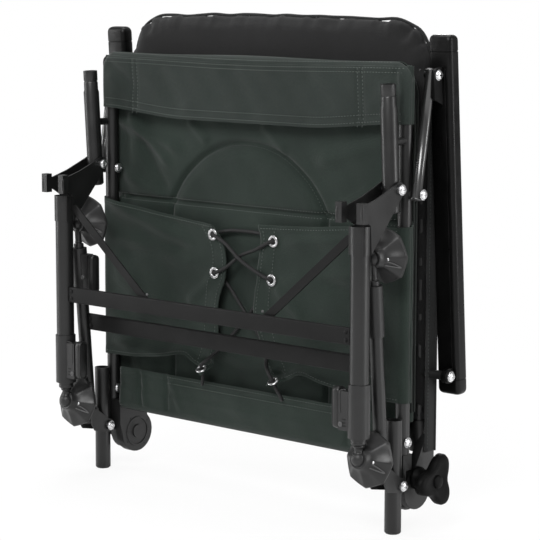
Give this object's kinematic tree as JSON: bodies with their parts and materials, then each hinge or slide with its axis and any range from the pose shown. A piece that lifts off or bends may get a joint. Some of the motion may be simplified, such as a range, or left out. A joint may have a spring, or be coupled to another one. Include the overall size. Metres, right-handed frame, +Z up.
{
  "type": "folding chair",
  "caption": "Carp fishing chair folded flat: black tube frame, laced green seat cover, padded mats, reclining back with arm rests, telescopic legs with mud feet.",
  "frame": {"origin": "the middle of the folded chair's bounding box, at the floor that the ends of its rear rails stand on", "axes": "+Z runs up the folded chair from the recline hinges to the headrest, -Y is the side of the leg frames that the picture shows, +X is the sitter's left"},
  "size_m": [0.626, 0.1962, 0.663],
  "materials": {
    "frame_black": "satin",
    "strut_gloss": "gloss",
    "zinc": "satin",
    "black_plastic": "satin",
    "foot_plastic": "satin",
    "seat_cloth": "matte",
    "pad_cloth": "matte",
    "charcoal_cloth": "matte",
    "lace_cord": "matte"
  },
  "bodies": {
    "seat_frame": {"seat_bow": "frame_black", "seat_rear_bar": "frame_black", "seat_cover": "seat_cloth", "lace": "lace_cord", "seat_cushion": "pad_cloth", "rear_rail_left": "frame_black", "front_rail_left": "frame_black", "rail_spacer_left": "black_plastic", "hinge_seat_arm_left": "black_plastic", "front_pivot_bolt_left": "zinc", "rear_pivot_bolt_left": "zinc", "rear_rail_right": "frame_black", "front_rail_right": "frame_black", "rail_spacer_right": "black_plastic", "hinge_seat_arm_right": "black_plastic", "front_pivot_bolt_right": "zinc", "rear_pivot_bolt_right": "zinc"},
    "backrest": {"back_bow": "frame_black", "back_cushion": "charcoal_cloth", "back_cover": "charcoal_cloth", "hinge_back_arm_left": "black_plastic", "arm_pin_left": "zinc", "hinge_back_arm_right": "black_plastic", "arm_pin_right": "zinc"},
    "front_legs": {"front_crossbar": "frame_black", "front_leg_left": "frame_black", "front_bracket_left": "frame_black", "front_clamp_left": "black_plastic", "front_brace_left": "frame_black", "front_leg_right": "frame_black", "front_bracket_right": "frame_black", "front_clamp_right": "black_plastic", "front_brace_right": "frame_black"},
    "rear_legs": {"rear_crossbar": "frame_black", "rear_leg_left": "frame_black", "rear_bracket_left": "frame_black", "rear_clamp_left": "black_plastic", "rear_leg_right": "frame_black", "rear_bracket_right": "frame_black", "rear_clamp_right": "black_plastic"},
    "strut_left": {"strut_left": "strut_gloss"},
    "arm_rest_left": {"arm_rest_left": "black_plastic", "arm_bracket_left": "frame_black"},
    "recline_knob_left": {"recline_knob_left": "black_plastic"},
    "front_inner_leg_left": {"front_inner_leg_left": "frame_black"},
    "front_foot_left": {"front_foot_left": "foot_plastic"},
    "front_lever_left": {"front_lever_left": "black_plastic"},
    "rear_inner_leg_left": {"rear_inner_leg_left": "frame_black"},
    "rear_foot_left": {"rear_foot_left": "foot_plastic"},
    "rear_lever_left": {"rear_lever_left": "black_plastic"},
    "strut_right": {"strut_right": "strut_gloss"},
    "arm_rest_right": {"arm_rest_right": "black_plastic", "arm_bracket_right": "frame_black"},
    "recline_knob_right": {"recline_knob_right": "black_plastic"},
    "front_inner_leg_right": {"front_inner_leg_right": "frame_black"},
    "front_foot_right": {"front_foot_right": "foot_plastic"},
    "front_lever_right": {"front_lever_right": "black_plastic"},
    "rear_inner_leg_right": {"rear_inner_leg_right": "frame_black"},
    "rear_foot_right": {"rear_foot_right": "foot_plastic"},
    "rear_lever_right": {"rear_lever_right": "black_plastic"}
  },
  "joints": [
    {"name": "recline", "type": "hinge", "parent": "seat_frame", "child": "backrest", "pos_m": [0, 0.0414, 0.0505], "axis": [-1, 0, 0], "range_deg": [0, 150]},
    {"name": "front_leg_fold", "type": "hinge", "parent": "seat_frame", "child": "front_legs", "pos_m": [0, -0.0156, 0.4478], "axis": [-1, 0, 0], "range_deg": [0, 100]},
    {"name": "rear_leg_fold", "type": "hinge", "parent": "seat_frame", "child": "rear_legs", "pos_m": [0, -0.0051, 0.065], "axis": [1, 0, 0], "range_deg": [0, 35]},
    {"name": "strut_swing_left", "type": "hinge", "parent": "seat_frame", "child": "strut_left", "pos_m": [0.289, 0.0159, 0.44], "axis": [-1, 0, 0], "range_deg": [0, 150]},
    {"name": "arm_rest_swing_left", "type": "hinge", "parent": "backrest", "child": "arm_rest_left", "pos_m": [0.302, 0.0654, 0.2005], "axis": [-1, 0, 0], "range_deg": [-150, 0]},
    {"name": "knob_turn_left", "type": "hinge", "parent": "backrest", "child": "recline_knob_left", "pos_m": [0.3, 0.0399, 0.066], "axis": [1, 0, 0], "range_deg": [0, 180]},
    {"name": "front_leg_slide_left", "type": "slide", "parent": "front_legs", "child": "front_inner_leg_left", "axis": [0, 0, -1], "range_m": [0, 0.15]},
    {"name": "front_foot_turn_left", "type": "hinge", "parent": "front_inner_leg_left", "child": "front_foot_left", "pos_m": [0.272, -0.0759, 0.1104], "axis": [0, 0, -1], "range_deg": [-12, 12]},
    {"name": "front_lever_turn_left", "type": "hinge", "parent": "front_legs", "child": "front_lever_left", "pos_m": [0.2395, -0.0759, 0.1505], "axis": [0, -1, 0], "range_deg": [0, 90]},
    {"name": "rear_leg_slide_left", "type": "slide", "parent": "rear_legs", "child": "rear_inner_leg_left", "axis": [0, -0.075, 0.9972], "range_m": [-0.01, 0.01]},
    {"name": "rear_foot_turn_left", "type": "hinge", "parent": "rear_inner_leg_left", "child": "rear_foot_left", "pos_m": [0.272, -0.051, 0.3634], "axis": [0, -0.075, 0.9972], "range_deg": [-20, 20]},
    {"name": "rear_lever_turn_left", "type": "hinge", "parent": "rear_legs", "child": "rear_lever_left", "pos_m": [0.2445, -0.0474, 0.31553], "axis": [0, 0.9972, 0.075], "range_deg": [0, 90]},
    {"name": "strut_swing_right", "type": "hinge", "parent": "seat_frame", "child": "strut_right", "pos_m": [-0.289, 0.0159, 0.44], "axis": [-1, 0, 0], "range_deg": [0, 150]},
    {"name": "arm_rest_swing_right", "type": "hinge", "parent": "backrest", "child": "arm_rest_right", "pos_m": [-0.302, 0.0654, 0.2005], "axis": [-1, 0, 0], "range_deg": [-150, 0]},
    {"name": "knob_turn_right", "type": "hinge", "parent": "backrest", "child": "recline_knob_right", "pos_m": [-0.3, 0.0399, 0.066], "axis": [-1, 0, 0], "range_deg": [0, 180]},
    {"name": "front_leg_slide_right", "type": "slide", "parent": "front_legs", "child": "front_inner_leg_right", "axis": [0, 0, -1], "range_m": [0, 0.15]},
    {"name": "front_foot_turn_right", "type": "hinge", "parent": "front_inner_leg_right", "child": "front_foot_right", "pos_m": [-0.272, -0.0759, 0.1104], "axis": [0, 0, -1], "range_deg": [-12, 12]},
    {"name": "front_lever_turn_right", "type": "hinge", "parent": "front_legs", "child": "front_lever_right", "pos_m": [-0.2395, -0.0759, 0.1505], "axis": [0, 1, 0], "range_deg": [0, 90]},
    {"name": "rear_leg_slide_right", "type": "slide", "parent": "rear_legs", "child": "rear_inner_leg_right", "axis": [0, -0.075, 0.9972], "range_m": [-0.01, 0.01]},
    {"name": "rear_foot_turn_right", "type": "hinge", "parent": "rear_inner_leg_right", "child": "rear_foot_right", "pos_m": [-0.272, -0.051, 0.3634], "axis": [0, -0.075, 0.9972], "range_deg": [-20, 20]},
    {"name": "rear_lever_turn_right", "type": "hinge", "parent": "rear_legs", "child": "rear_lever_right", "pos_m": [-0.2445, -0.0474, 0.31553], "axis": [0, -0.9972, -0.075], "range_deg": [0, 90]}
  ],
  "couplings": [
    {"joint": "rear_leg_fold", "follows": "front_leg_fold", "ratio": 0.35},
    {"joint": "strut_swing_left", "follows": "recline", "ratio": 1},
    {"joint": "arm_rest_swing_left", "follows": "recline", "ratio": -1},
    {"joint": "strut_swing_right", "follows": "recline", "ratio": 1},
    {"joint": "arm_rest_swing_right", "follows": "recline", "ratio": -1}
  ]
}
